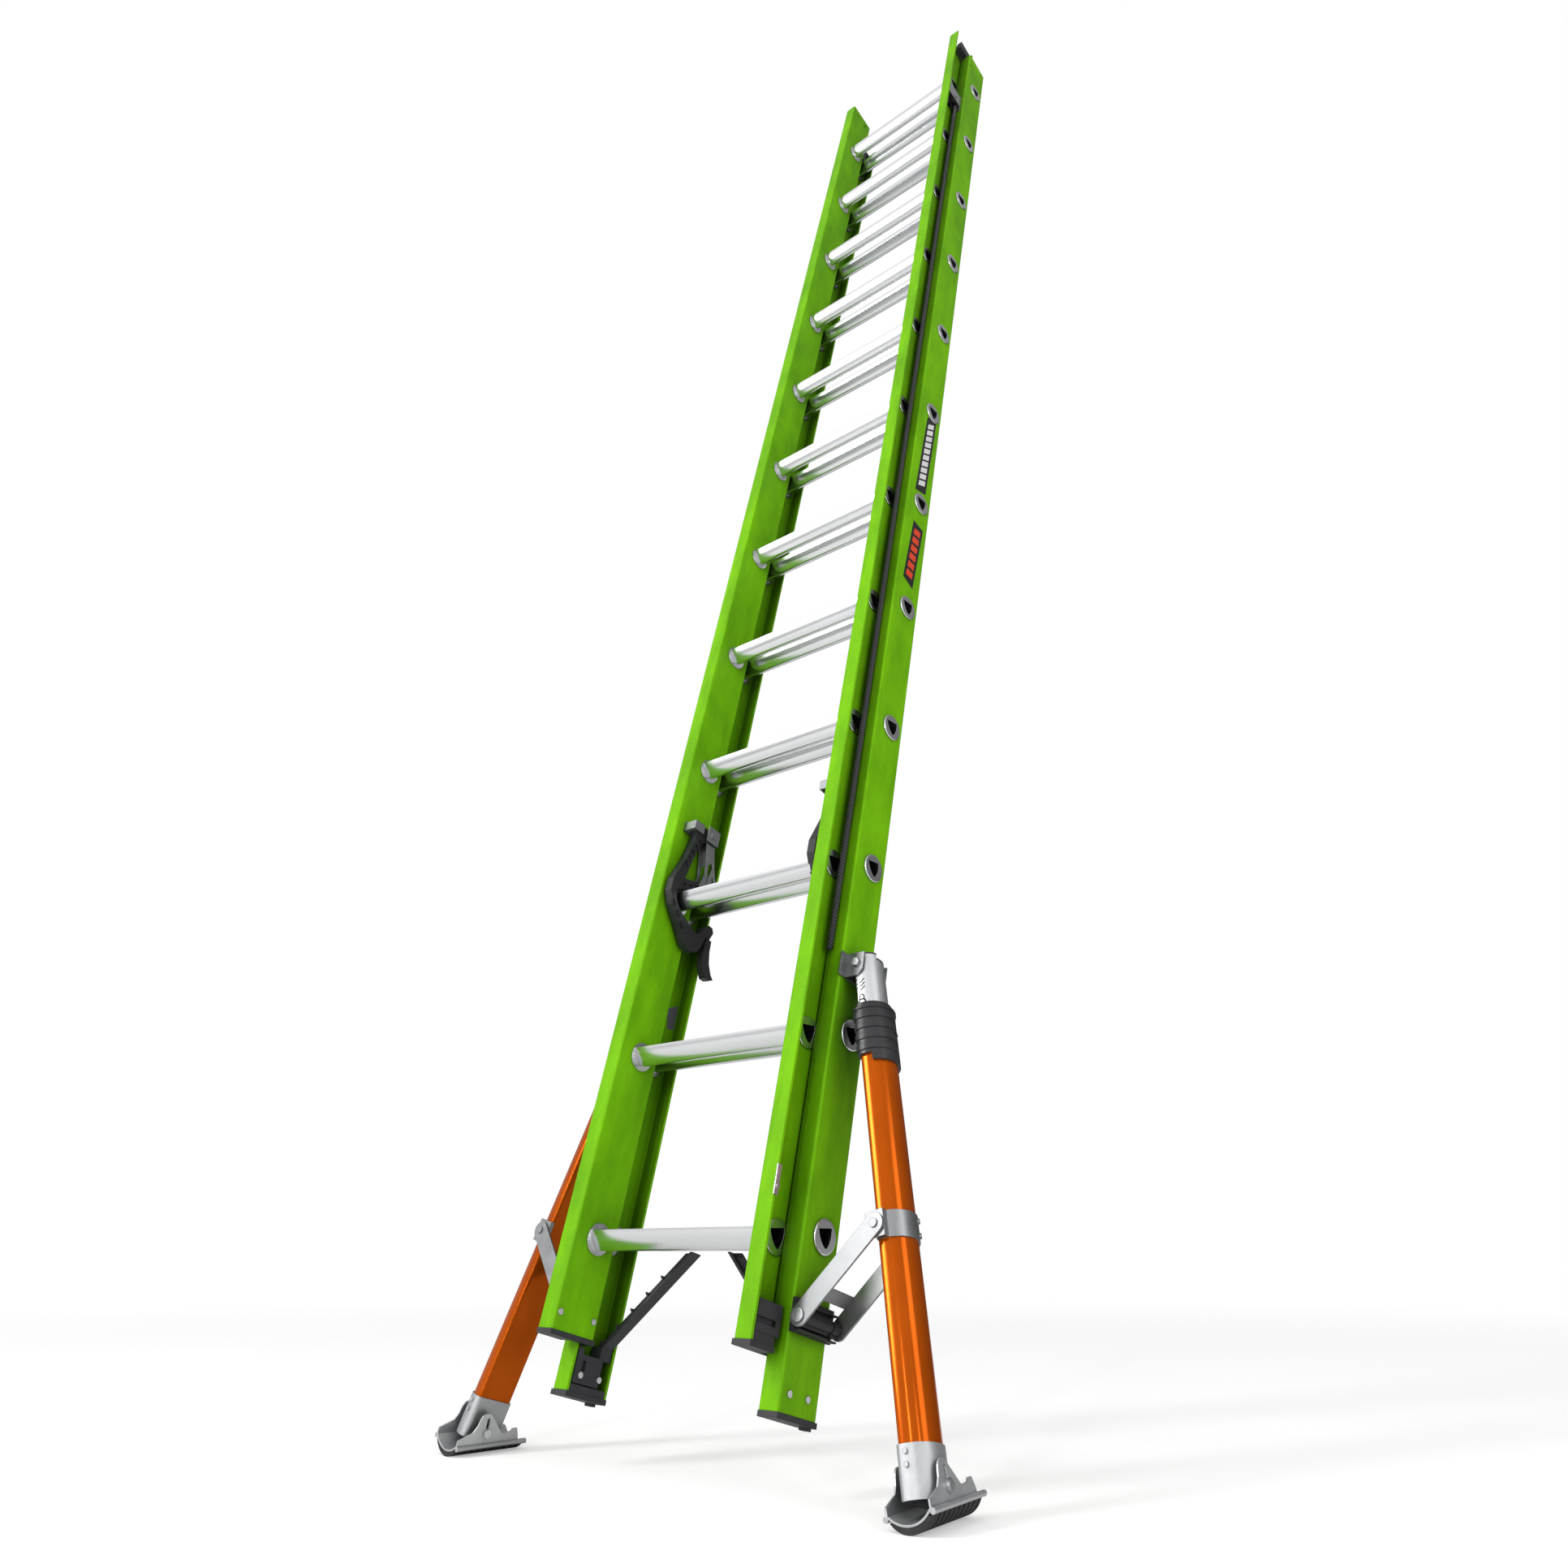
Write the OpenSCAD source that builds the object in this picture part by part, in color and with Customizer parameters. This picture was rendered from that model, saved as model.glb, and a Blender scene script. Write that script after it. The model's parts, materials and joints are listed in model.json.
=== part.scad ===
/* [Ladder] */
// Distance between two rungs
rung_pitch = 304.8; // [250:0.1:370]
// Rungs in each section, in three groups
rung_count = 12; // [9:3:15]
// Outside width over the base rails
base_width = 444; // [400:1:540]
// Lean of the ladder from upright, in degrees
lean = 14.5; // [10:0.5:18]

/* [Base rails] */
// Depth of a base rail, front to back
base_depth = 83.5; // [78:0.5:102]
// Reach of a base rail's flanges
base_flange = 32; // [30:0.5:36]
// Thickness of the rail webs
web_t = 4; // [3:0.1:5]
// Thickness of the rail flanges
flange_t = 4.5; // [3:0.1:5.5]
// Corner radius of the rails
rail_r = 4; // [2.5:0.5:5]
// Base rail below its first rung
base_foot = 229; // [190:1:280]
// Base rail above its last rung
base_head = 164; // [130:1:200]

/* [Fly rails] */
// Depth of a fly rail, front to back
fly_depth = 89; // [82:0.5:108]
// Gap between the base flange tip and the fly web
fly_gap = 3.7; // [3.6:0.1:6]
// Gap between the fly flange tip and the base web
tip_gap = 5.6; // [5.2:0.1:8]
// Overlap of the fly rail and the base rail, front to back
nest_overlap = 25.5; // [22:0.5:27]
// Fly rail below its first rung
fly_foot = 140.5; // [120:1:170]
// Fly rail above its last rung
fly_head = 230; // [180:1:280]
// How far the fly rungs rest below the base rungs
rung_offset = 16; // [8:1:24]

/* [Rungs] */
// Width of the rung's tread
rung_w = 35; // [30:0.5:37]
// Wall of the rung tube
rung_wall = 2.2; // [1.5:0.1:3]
// Height of the tread above the rung's centre
rung_top = 14; // [12:0.5:15]
// Radius of the rung's sides
rung_side_r = 42; // [38:1:50]
// Radius of the rung's lower edge
rung_low_r = 8; // [6:0.5:10]
// Radius of the ring outside each web
ring_r = 25; // [24:0.5:27]
// Thickness of the ring on the base rails
ring_t = 4; // [3:0.5:4.5]
// Thickness of the ring on the fly rails
fly_ring_t = 3; // [2:0.1:3]
// Thickness of the collar inside each web
collar_t = 4.8; // [3:0.1:5]

/* [Outriggers] */
// Angle between a leg and the rail, in degrees
leg_angle = 14.34; // [12:0.1:17]
// Width of the leg tube, front to back
leg_w = 65.4; // [60:0.1:70]
// Depth of the straight part of the leg tube
leg_flat = 6.5; // [6:0.1:8]
// Wall of the leg tubes
leg_wall = 3; // [2:0.1:3.5]
// Running gap between the two leg tubes
leg_gap = 0.35; // [0.3:0.05:0.5]
// Leg below the first rung's level, along the leg
leg_low = 285; // [260:1:330]
// Outer tube above the first rung's level, along the leg
leg_high = 328; // [318:1:328]
// Width of the link's arms
link_w = 28; // [24:1:30]
// Thickness of the link's arms
link_t = 3.5; // [2.5:0.1:4.5]

/* [Shoes] */
// Length of a shoe ahead of its bolt
shoe_front = 50.5; // [45:0.5:60]
// Length of a shoe behind its bolt
shoe_back = 78.3; // [70:0.5:90]
// Height of the shoe bolt above the floor
shoe_h = 37.9; // [36:0.1:42]
// Thickness of the shoe's sheet metal
shoe_t = 2.5; // [2:0.1:3]
// Ribs across the tread
tread_ribs = 9; // [6:1:12]

/* [Rope] */
// Diameter of the halyard
rope_d = 9.5; // [8:0.5:10]

/* [Hidden] */
$fn = 48;
eps = 0.01;

// Stance: the first base rung over the floor, and the floor point between the shoe bolts
stance_y = 78;
stance_z = 316.7;

// Inner corner radius of the rails, and the room that a fitted plug leaves for it
rail_in_r = rail_r - 2;
plug_gap = 0.4 * rail_in_r;

// Base section, in the ladder's own frame: X along the rungs, Z up the rails
base_x = base_width / 2;
base_y0 = -45;
base_y1 = base_y0 + base_depth;
base_rung_y = 2;
base_z0 = -base_foot;
base_z1 = (rung_count - 1) * rung_pitch + base_head;

// Fly section, at rest behind its locks
fly_web_out = base_x - base_flange - fly_gap;
fly_web_in = fly_web_out - web_t;
fly_tip = base_x - web_t - tip_gap;
fly_y1 = base_y0 + nest_overlap;
fly_y0 = fly_y1 - fly_depth;
fly_rung_y = fly_y0 + fly_depth / 2 + 5;
fly_rung_z = -rung_offset;
fly_z0 = fly_rung_z - fly_foot;
fly_z1 = fly_rung_z + (rung_count - 1) * rung_pitch + fly_head;
group = rung_count / 3;

// Rivets
rivet_r = 2.4;
rivet_head_r = 4.6;
rivet_head = 2;
base_rivet_y = [-26.7, 12.8];
base_rivet_z = base_z0 + 23.5;
fly_rivet_y = [fly_y0 + 9, fly_y0 + 79];
fly_rivet_z = fly_z0 + 25;

// Leg frame: X out of the rail side, Z up the leg, origin on the tube's flat side
leg_y = -2.6;
leg_r = leg_w / 2;
inner_r = leg_r - leg_wall - leg_gap;
pivot_x = 10.5;
pivot_s = 420.7;
pivot_out = 23.076;
leg_x = base_x + pivot_out + pivot_s * sin(leg_angle) - pivot_x * cos(leg_angle);
ear_x = 5.45;
ear_s = 2.32;
bolt_r = 4;
pin_gap = 0.1;
side_gap = 0.5;

// Link: from its bracket on the rail to the ears of the leg's collar
arm_in = leg_r + 10.8;
link_foot = [base_x + 16, -114];
ear_pos = [leg_x + ear_x * cos(leg_angle) - ear_s * sin(leg_angle),
           ear_x * sin(leg_angle) + ear_s * cos(leg_angle)];
link_run = ear_pos - link_foot;
link_len = norm(link_run);
link_tilt = atan2(link_run[0], link_run[1]);

// Shoe frame: X along the bolt, Y along the shoe, Z out of the floor
shoe_x = 16.1;
shoe_y = -3;
shoe_s = -302.8;
shoe_tilt = 14.95;
ear_w = 30;
sole_r = 33.2;
sheet_r = 41;
lip_r = 3.6;

// Rung lock: rests on the third base rung, and its pin is in the fly rail's bracket
lock_rung = 2;
lock_base_z = lock_rung * rung_pitch;
lock_pin = [-36, lock_base_z + 140];
lock_x0 = fly_web_in - 22;
lock_x1 = fly_web_in - 6;
tongue_pin = [17.5, lock_base_z - 41];

// Rope
rope_r = rope_d / 2;
rope_x = base_x - 22;
tail_y = fly_y0 + 55.5;
lift_y = fly_y0 + flange_t + rope_r + 1.2;
sheave_r = (tail_y - lift_y) / 2;
sheave_y = (tail_y + lift_y) / 2;
sheave_z = (rung_count - 1) * rung_pitch - 140;
tail_end = 434;
clip_z = 54;
rope_sides = 10;
rope_lead = 10;

// ---------- placing ----------

module leaned() {
    translate([0, stance_y, stance_z]) rotate([-lean, 0, 0]) children();
}

module right() {
    leaned() children();
}

module left() {
    leaned() mirror([1, 0, 0]) children();
}

module leg_frame() {
    translate([leg_x, leg_y, 0]) rotate([0, -leg_angle, 0]) children();
}

module shoe_frame() {
    leg_frame() translate([shoe_x, shoe_y, shoe_s]) rotate([shoe_tilt, 0, 0]) children();
}

// A box from its lower to its upper corner
module block(a, b) {
    translate(a) cube(b - a);
}

// A cylinder along X from x0 to x1
module rod_x(x0, x1, y, z, r) {
    translate([x0, y, z]) rotate([0, 90, 0]) cylinder(h = x1 - x0, r = r);
}

// A cylinder along Y from y0 to y1
module rod_y(y0, y1, x, z, r) {
    translate([x, y0, z]) rotate([-90, 0, 0]) cylinder(h = y1 - y0, r = r);
}

// A plate drawn in Y and Z and extruded along X from x0 to x1
module plate_yz(x0, x1) {
    translate([x0, 0, 0]) rotate([90, 0, 90]) linear_extrude(x1 - x0) children();
}

// A plate drawn in X and Z and extruded along Y from y0 to y1
module plate_xz(y0, y1) {
    translate([0, y1, 0]) rotate([90, 0, 0]) linear_extrude(y1 - y0) children();
}

function arc(c, r, a0, a1, n = 5) =
    [for (i = [0:n]) c + r * [cos(a0 + (a1 - a0) * i / n), sin(a0 + (a1 - a0) * i / n)]];

// ---------- rails ----------

// Channel section with its web on x = 0 and its flanges along +X
module channel_outline(depth, reach) {
    ro = rail_r;
    ri = rail_in_r;
    polygon(concat(
        arc([ro, ro], ro, 180, 270),
        [[reach, 0], [reach, flange_t]],
        arc([web_t + ri, flange_t + ri], ri, 270, 180),
        arc([web_t + ri, depth - flange_t - ri], ri, 180, 90),
        [[reach, depth - flange_t], [reach, depth]],
        arc([ro, depth - ro], ro, 90, 180)
    ));
}

module base_channel() {
    translate([base_x, base_y0, base_z0]) mirror([1, 0, 0])
        linear_extrude(base_z1 - base_z0) channel_outline(base_depth, base_flange);
}

module fly_channel() {
    translate([fly_web_in, fly_y0, fly_z0])
        linear_extrude(fly_z1 - fly_z0) channel_outline(fly_depth, fly_tip - fly_web_in);
}

module rung_holes(x, y, z) {
    for (k = [0:rung_count - 1])
        rung_at(y, z + k * rung_pitch) rung_bar(x - 12, x + 12, 0);
}

module base_rail() {
    color("yellowgreen") difference() {
        base_channel();
        rung_holes(base_x, base_rung_y, 0);
        for (y = base_rivet_y) rod_x(base_x - 9, base_x + 1, y, base_rivet_z, rivet_r);
        rod_x(base_x - 9, base_x + 1, base_y0 + 12, base_z1 - 52, 4.5);
        rod_x(base_x - 9, base_x + 1, base_y1 - 2, base_z1 - 47, 4.5);
    }
}

module fly_rail() {
    color("yellowgreen") difference() {
        fly_channel();
        rung_holes(fly_web_in, fly_rung_y, fly_rung_z);
        for (y = fly_rivet_y) rod_x(fly_web_in - 1, fly_web_in + 9, y, fly_rivet_z, rivet_r);
        for (y = [26, 65])
            rod_x(fly_web_in - 1, fly_web_in + 9, fly_y0 + y, fly_z1 - 25, 4.5);
    }
}

// ---------- rungs ----------

// Places a rung so that its tread is level when the ladder leans
module rung_at(y, z) {
    translate([0, y, z]) rotate([lean, 0, 0]) children();
}

// The rung's section, set in by o from its outside
module rung_outline(o) {
    side_c = rung_side_r - rung_w / 2;
    low_d = sqrt(pow(rung_side_r - rung_low_r, 2) - pow(side_c, 2));
    reach = rung_side_r - o;
    cut = low_d * reach / (rung_side_r - rung_low_r);
    union() {
        intersection() {
            translate([-side_c, rung_top]) circle(r = reach, $fn = 72);
            translate([side_c, rung_top]) circle(r = reach, $fn = 72);
            translate([-rung_w, rung_top - cut]) square([2 * rung_w, cut - o]);
        }
        translate([0, rung_top - low_d]) circle(r = rung_low_r - o, $fn = 32);
    }
}

module rung_bar(x0, x1, o) {
    plate_yz(x0, x1) rung_outline(o);
}

// Ring with a rounded edge that holds the rung's end outside the web
module end_ring(t) {
    edge = t / 2;
    cylinder(h = t, r = ring_r - edge);
    cylinder(h = t - edge, r = ring_r);
    rotate_extrude() translate([ring_r - edge, t - edge]) circle(r = edge, $fn = 24);
}

module rung(ring, web, inside) {
    half = web + ring;
    ridge = 0.6;
    difference() {
        union() {
            rung_bar(-half, half, 0);
            for (m = [0, 1]) mirror([m, 0, 0]) {
                rod_x(inside - collar_t / 2, inside, 0, 0, ring_r - 0.8);
                rod_x(inside - collar_t, inside, 0, 0, ring_r - 4);
                translate([web, 0, 0]) rotate([0, 90, 0]) end_ring(ring);
            }
            for (i = [-2:2])
                block([5 - inside + collar_t, i * 6 - 1, rung_top - 0.5],
                      [inside - collar_t - 5, i * 6 + 1, rung_top + ridge]);
        }
        rung_bar(-half - 1, half + 1, rung_wall);
    }
}

module rung_group(first, y, z, ring, web, inside) {
    color("silver") leaned()
        for (k = [first:first + group - 1])
            rung_at(y, z + k * rung_pitch) rung(ring, web, inside);
}

module base_rungs(first) {
    rung_group(first, base_rung_y, 0, ring_t, base_x, base_x - web_t);
}

module fly_rungs(first) {
    rung_group(first, fly_rung_y, fly_rung_z, fly_ring_t, fly_web_out, fly_web_in);
}

// ---------- end caps, brace and guides ----------

cap_t = 7.5;
cap_proud = 1;
cap_plug = 12;

module base_end_cap() {
    color("dimgray") union() {
        block([base_x - base_flange - cap_proud, base_y0 - cap_proud, base_z0 - cap_t],
              [base_x + cap_proud, base_y1 + cap_proud, base_z0]);
        block([base_x - base_flange, base_y0 + flange_t + plug_gap, base_z0 - 1],
              [base_x - web_t - plug_gap, base_y1 - flange_t - plug_gap, base_z0 + cap_plug - 1.5]);
        block([base_x - 16, base_y1 - 16, base_z0 - cap_t - 4],
              [base_x - 4, base_y1 - 4, base_z0 - cap_t + 1]);
    }
}

// Cap with a slot that the base flange and the halyard's tail pass through
module fly_end_cap() {
    slot_y0 = tail_y - rope_r - 1.5;
    slot_y1 = base_y0 + flange_t + 1;
    color("dimgray") difference() {
        union() {
            block([fly_web_in - cap_proud, fly_y0 - cap_proud, fly_z0 - cap_t],
                  [fly_tip + cap_proud, fly_y1 + cap_proud, fly_z0]);
            block([fly_web_out + plug_gap, fly_y0 + flange_t + plug_gap, fly_z0 - 1],
                  [fly_tip - 1, fly_y1 - flange_t - plug_gap, fly_z0 + cap_plug]);
        }
        block([fly_web_out + fly_gap - 1.2, slot_y0, fly_z0 - cap_t - 1],
              [fly_tip + 9, slot_y1, fly_z0 + cap_plug + 1]);
    }
}

// Foot block in the base channel with a ribbed strut that rises under the first rung
module foot_brace() {
    x_in = base_x - base_flange - 2;
    x_out = base_x - web_t;
    y_in = base_y0 + flange_t + rail_in_r;
    y_mid = 14;
    y_back = y_mid + 16;
    foot = [x_in + 15, base_z0 + 62];
    run = [base_x - 176, -20] - foot;
    along = run / norm(run);
    side = [-along[1], along[0]] * sign(along[0]);
    top = -17.6;
    rib_gap = norm(run) / 6;
    function at(u, s) = foot + u * side + s * along;
    function to_top(u) = (top - foot[1] - u * side[1]) / along[1];
    color("dimgray") difference() {
        union() {
            block([x_in, y_in, base_z0 + cap_plug], [x_out, y_mid, base_z0 + 52]);
            block([x_in, y_in, base_z0 + 51], [x_out, base_y0 + 16, base_z0 + 60]);
            block([x_in + 2, y_mid - 6, base_z0 + 50], [x_out - 4, y_back, base_z0 + 70]);
            plate_xz(y_mid - 5, y_back - 1)
                polygon([at(-5, -6), at(-1, -6), at(-1, to_top(-1)), at(-5, to_top(-5))]);
            plate_xz(y_mid + 3, y_mid + 6)
                polygon([at(-3, -6), at(10, -6), at(10, to_top(10)), at(-3, to_top(-3))]);
            for (i = [0:4])
                plate_xz(y_mid - 5, y_back - 1)
                    polygon([for (c = [[-3, 0], [9, 0], [9, 2.5], [-3, 2.5]])
                        at(c[0], c[1] + 12 + i * rib_gap)]);
        }
        block([x_in - 1, base_y0 + 18, base_z0 + 30], [x_in + 6, base_y0 + 26, base_z0 + 44]);
        for (y = base_rivet_y) rod_x(x_in - 1, x_out + 1, y, base_rivet_z, rivet_r);
    }
}

// Block in the mouth of the fly channel that runs along the base rail's front flange
module fly_guide() {
    x0 = fly_web_out;
    z0 = fly_z0 + cap_plug;
    y0 = fly_y0 + flange_t + rail_in_r;
    y1 = tail_y - rope_r - 3;
    color("dimgray") union() {
        block([x0, y0, z0], [fly_tip, y1, fly_z0 + 23]);
        block([x0, y0 + 4, fly_z0 + 23], [fly_tip - 5, y1 - 3, fly_z0 + 31]);
        block([x0, y0, fly_z0 + 31], [fly_tip, y1, fly_z0 + 52]);
        block([fly_tip - 4, y1, z0], [fly_tip, y1 + 8, fly_z0 + 52]);
    }
}

// Guide on the head of a base rail, in front of and behind the fly rail's rear flange
module top_guide() {
    x0 = fly_web_out + 5;
    x1 = base_x - web_t;
    back = fly_y1 - flange_t;
    color("dimgray") union() {
        block([x0 + 3, fly_y0 + 28, base_z1], [x1 - 8, back - 1.5, base_z1 + 33]);
        block([x0 + 3, base_y0 + flange_t, base_z1 - 50], [x1 - 8, back - 1.5, base_z1 + 1]);
        block([x1 - 9, base_y0 + flange_t + rail_r, base_z1 - 50], [x1, back - 1.5, base_z1 - 20]);
    }
    color("dimgray") difference() {
        block([base_x - base_flange - 2, fly_y1 + 2, base_z1 - 128],
              [x1, base_y1 - flange_t - rail_in_r, base_z1 - 72]);
        block([base_x - base_flange - 3, fly_y1 + 14, base_z1 - 120],
              [x1 - 8, base_y1 - flange_t - 8, base_z1 - 80]);
    }
}

// ---------- brackets on the base rail ----------

bracket_t = 3;

// The point in the ladder's X and Z that lies at x and s in the leg's own frame
function from_leg(x, s) = [leg_x + x * cos(leg_angle) - s * sin(leg_angle),
                           x * sin(leg_angle) + s * cos(leg_angle)];
pivot = from_leg(pivot_x, pivot_s);

module leg_bracket() {
    ear = inner_r + side_gap;
    z0 = pivot[1] - 22;
    z1 = pivot[1] + 18;
    x1 = pivot[0] + 13;
    color("silver") difference() {
        union() {
            block([base_x, leg_y - ear - bracket_t - 14, z0],
                  [base_x + bracket_t, leg_y + ear + bracket_t + 9, z1]);
            for (y = [leg_y - ear - bracket_t, leg_y + ear])
                plate_xz(y, y + bracket_t)
                    polygon([[base_x, z0], [x1 - 9, z0], [x1, z0 + 12], [x1, z1], [base_x, z1]]);
        }
        rod_y(leg_y - 60, leg_y + 60, pivot[0], pivot[1], bolt_r);
    }
}

module link_bracket() {
    half = arm_in - side_gap;
    x0 = base_x;
    p = link_foot;
    color("dimgray") difference() {
        union() {
            block([x0, leg_y - half, p[1] - 19], [x0 + 6, leg_y + half, p[1] + 24]);
            rod_y(leg_y - half, leg_y + half, p[0], p[1], 8);
            block([x0, leg_y - half, p[1] - 12], [p[0], leg_y + half, p[1] + 8]);
            for (i = [0:3])
                block([x0 + 5, leg_y - half + 2, p[1] - 18 + i * 11],
                      [p[0] + 3 - abs(i - 1) * 2, leg_y + half - 2, p[1] - 15.5 + i * 11]);
        }
        block([x0 + 8, leg_y + half - 21, p[1] - 25], [x0 + 40, leg_y + half - 17, p[1] + 30]);
        rod_y(leg_y - half - 1, leg_y + half + 1, p[0], p[1], bolt_r);
    }
}

module hex_head(y0, y1, x, z, r) {
    translate([x, y0, z]) rotate([-90, 0, 0]) cylinder(h = y1 - y0, r = r, $fn = 6);
}

module base_bolt_pair() {
    ear = inner_r + side_gap + bracket_t;
    arm = arm_in + link_t + side_gap;
    rod_y(leg_y - ear - 6, leg_y + ear + 3, pivot[0], pivot[1], bolt_r);
    hex_head(leg_y - ear - 6, leg_y - ear, pivot[0], pivot[1], 7.5);
    hex_head(leg_y + ear, leg_y + ear + 6, pivot[0], pivot[1], 7.5);
    rod_y(leg_y - arm - 2, leg_y + arm + 2, link_foot[0], link_foot[1], bolt_r - pin_gap / 2);
    for (y = [leg_y - arm - 3, leg_y + arm]) rod_y(y, y + 3, link_foot[0], link_foot[1], 9);
}

module rivet_through(x0, x1, y, z) {
    rod_x(x0 - rivet_head, x1 + rivet_head, y, z, rivet_r);
    rod_x(x0 - rivet_head, x0, y, z, rivet_head_r);
    rod_x(x1, x1 + rivet_head, y, z, rivet_head_r);
}

module base_rivet_pair() {
    for (y = base_rivet_y) rivet_through(base_x - base_flange - 2, base_x, y, base_rivet_z);
}

module fly_rivet_pair() {
    for (y = fly_rivet_y) {
        rod_x(fly_web_in - rivet_head, fly_web_out, y, fly_rivet_z, rivet_r);
        rod_x(fly_web_in - rivet_head, fly_web_in, y, fly_rivet_z, rivet_head_r);
    }
}

// ---------- outrigger legs ----------

// D section: flat on x = 0, half round outwards, set in by o
module leg_outline(o) {
    r = leg_r - o;
    corner = 5;
    rc = max(corner - o, 1);
    union() {
        intersection() {
            translate([leg_flat, 0]) circle(r = r, $fn = 96);
            translate([leg_flat, -r]) square([r, 2 * r]);
        }
        translate([o, -r + rc]) square([leg_flat - o, 2 * (r - rc)]);
        for (s = [-1, 1])
            intersection() {
                translate([o + rc, s * (r - rc)]) circle(r = rc, $fn = 32);
                translate([o, s > 0 ? r - rc : -r]) square([leg_flat - o, rc]);
            }
        if (o + rc < leg_flat) translate([o + rc, -r]) square([leg_flat - o - rc, 2 * r]);
    }
}

module leg_bar(s0, s1, o) {
    translate([0, 0, s0]) linear_extrude(s1 - s0) leg_outline(o);
}

inner_o = leg_wall + leg_gap;
inner_wall = 2.5;
inner_low = 110;
inner_top = pivot_s + 16;
crown_x = leg_flat + 13;
crown_y = -9;
crown_drop = 9;

// The rear of the crown, where the inner leg's head is cut lower
module crown_cut(s0) {
    block([crown_x, crown_y, s0], [crown_x + leg_w, leg_w, inner_top + 9]);
}

module outer_leg() {
    color("orangered") leg_frame() difference() {
        leg_bar(-leg_low, leg_high, 0);
        leg_bar(-leg_low - 1, leg_high + 1, leg_wall);
    }
}

module inner_leg() {
    groove_angle = -20;
    color("silver") leg_frame() difference() {
        leg_bar(inner_low, inner_top, inner_o);
        leg_bar(inner_low - 1, inner_top + 1, inner_o + inner_wall);
        crown_cut(inner_top - crown_drop);
        rod_y(-leg_w, leg_w, pivot_x, pivot_s, bolt_r + pin_gap);
        translate([leg_flat, 0, 0]) rotate([0, 0, groove_angle])
            block([inner_r - 0.9, -1, inner_low - 1], [inner_r + 1, 1, inner_top + 1]);
    }
}

module leg_plug() {
    cap = 3;
    color("dimgray") leg_frame() difference() {
        union() {
            leg_bar(inner_top - 26, inner_top + cap, inner_o + inner_wall);
            difference() {
                leg_bar(inner_top, inner_top + cap, inner_o);
                crown_cut(inner_top - 1);
            }
            intersection() {
                leg_bar(inner_top - crown_drop, inner_top - crown_drop + cap, inner_o);
                crown_cut(inner_top - crown_drop);
            }
        }
        crown_cut(inner_top - crown_drop + cap);
        rod_y(-leg_w, leg_w, pivot_x, pivot_s, bolt_r + pin_gap);
    }
}

sleeve_travel = 12;
sleeve_s1 = leg_high + sleeve_travel + 6.5;
sleeve_s0 = sleeve_s1 - 88.5;
sleeve_t = 4.5;
sleeve_gap = 0.4;
rib_h = 1.8;
rib_pitch = 18;

module leg_sleeve() {
    lip = 12;
    rib_end = 6;
    step = leg_high + sleeve_travel;
    head = step - 2;
    screw_angle = 16;
    color("dimgray") leg_frame() difference() {
        union() {
            leg_bar(sleeve_s0, head, -sleeve_t);
            leg_bar(head - 1, sleeve_s1, inner_o - sleeve_gap - sleeve_t);
            leg_bar(head - 4, head, -sleeve_t - rib_h);
            intersection() {
                for (i = [0:3])
                    leg_bar(sleeve_s0 + 6 + i * rib_pitch, sleeve_s0 + 15 + i * rib_pitch, -sleeve_t - rib_h);
                block([-leg_w, -leg_w, sleeve_s0], [leg_w, rib_end, head]);
            }
            difference() {
                leg_bar(sleeve_s0 - lip, sleeve_s0 + 1, -sleeve_t);
                block([-leg_w, -leg_w, sleeve_s0 - lip - 1], [leg_flat + 16, leg_w, sleeve_s0]);
            }
        }
        leg_bar(sleeve_s0 - lip - 1, step + 0.5, -sleeve_gap);
        leg_bar(step, sleeve_s1 + 1, inner_o - sleeve_gap);
        for (i = [0:2])
            translate([leg_flat, 0, sleeve_s0 + 17 + i * rib_pitch]) rotate([0, 0, screw_angle - 6])
                block([leg_r + 2, -2, 0], [leg_r + 9, 2, 8]);
    }
    color("silver") leg_frame() translate([leg_flat, 0, sleeve_s0 + 40]) rotate([0, 0, screw_angle + 6])
        rod_x(leg_r + sleeve_gap + 1, leg_r + sleeve_t + 1, 0, 0, 3);
}

collar_h = 36;
collar_s = 2.32;
collar_wall = 2.4;

// Strap round the leg with two ears that the link's arms are pinned to
module leg_collar() {
    ear_out = arm_in - side_gap;
    s0 = collar_s - collar_h / 2;
    s1 = collar_s + collar_h / 2;
    bend = leg_flat + 10;
    color("silver") leg_frame() difference() {
        union() {
            difference() {
                leg_bar(s0, s1, -collar_wall);
                block([-20, -leg_w, s0 - 1], [0, leg_w, s1 + 1]);
            }
            for (m = [0, 1]) mirror([0, m, 0]) {
                block([bend, leg_r - 4, s0], [bend + collar_wall, ear_out, s1]);
                block([ear_x - 15, ear_out - collar_wall, s0], [bend + collar_wall, ear_out, s1]);
            }
            for (s = [-10, 10])
                translate([leg_flat, 0, collar_s + s]) rotate([0, 0, 24])
                    rod_x(leg_r + 1, leg_r + 4.6, 0, 0, 4);
        }
        leg_bar(s0 - 1, s1 + 1, 0);
        rod_y(-leg_w, leg_w, ear_x, ear_s, 2.5);
    }
}

socket_s0 = shoe_s - 14;
socket_s1 = -leg_low + 27;

// Sheet sleeve over the foot of the leg that the shoe's bolt passes through
module leg_socket() {
    sheet = 2.5;
    color("silver") leg_frame() difference() {
        union() {
            difference() {
                leg_bar(socket_s0, socket_s1, -sheet);
                leg_bar(socket_s0 - 1, socket_s1 + 1, 0);
            }
            for (s = [-14, 14])
                translate([leg_flat + 6, -leg_r - sheet - 1.6, (socket_s0 + socket_s1) / 2 + 14 + s / 2])
                    rotate([-90, 0, 0]) cylinder(h = 3, r = 3.2);
        }
        rod_x(-20, leg_w, shoe_y, shoe_s, bolt_r + pin_gap);
        block([leg_flat + 18, leg_r - 12, socket_s0 - 1], [leg_flat + 20, leg_r + 9, socket_s1 - 12]);
    }
}

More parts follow.
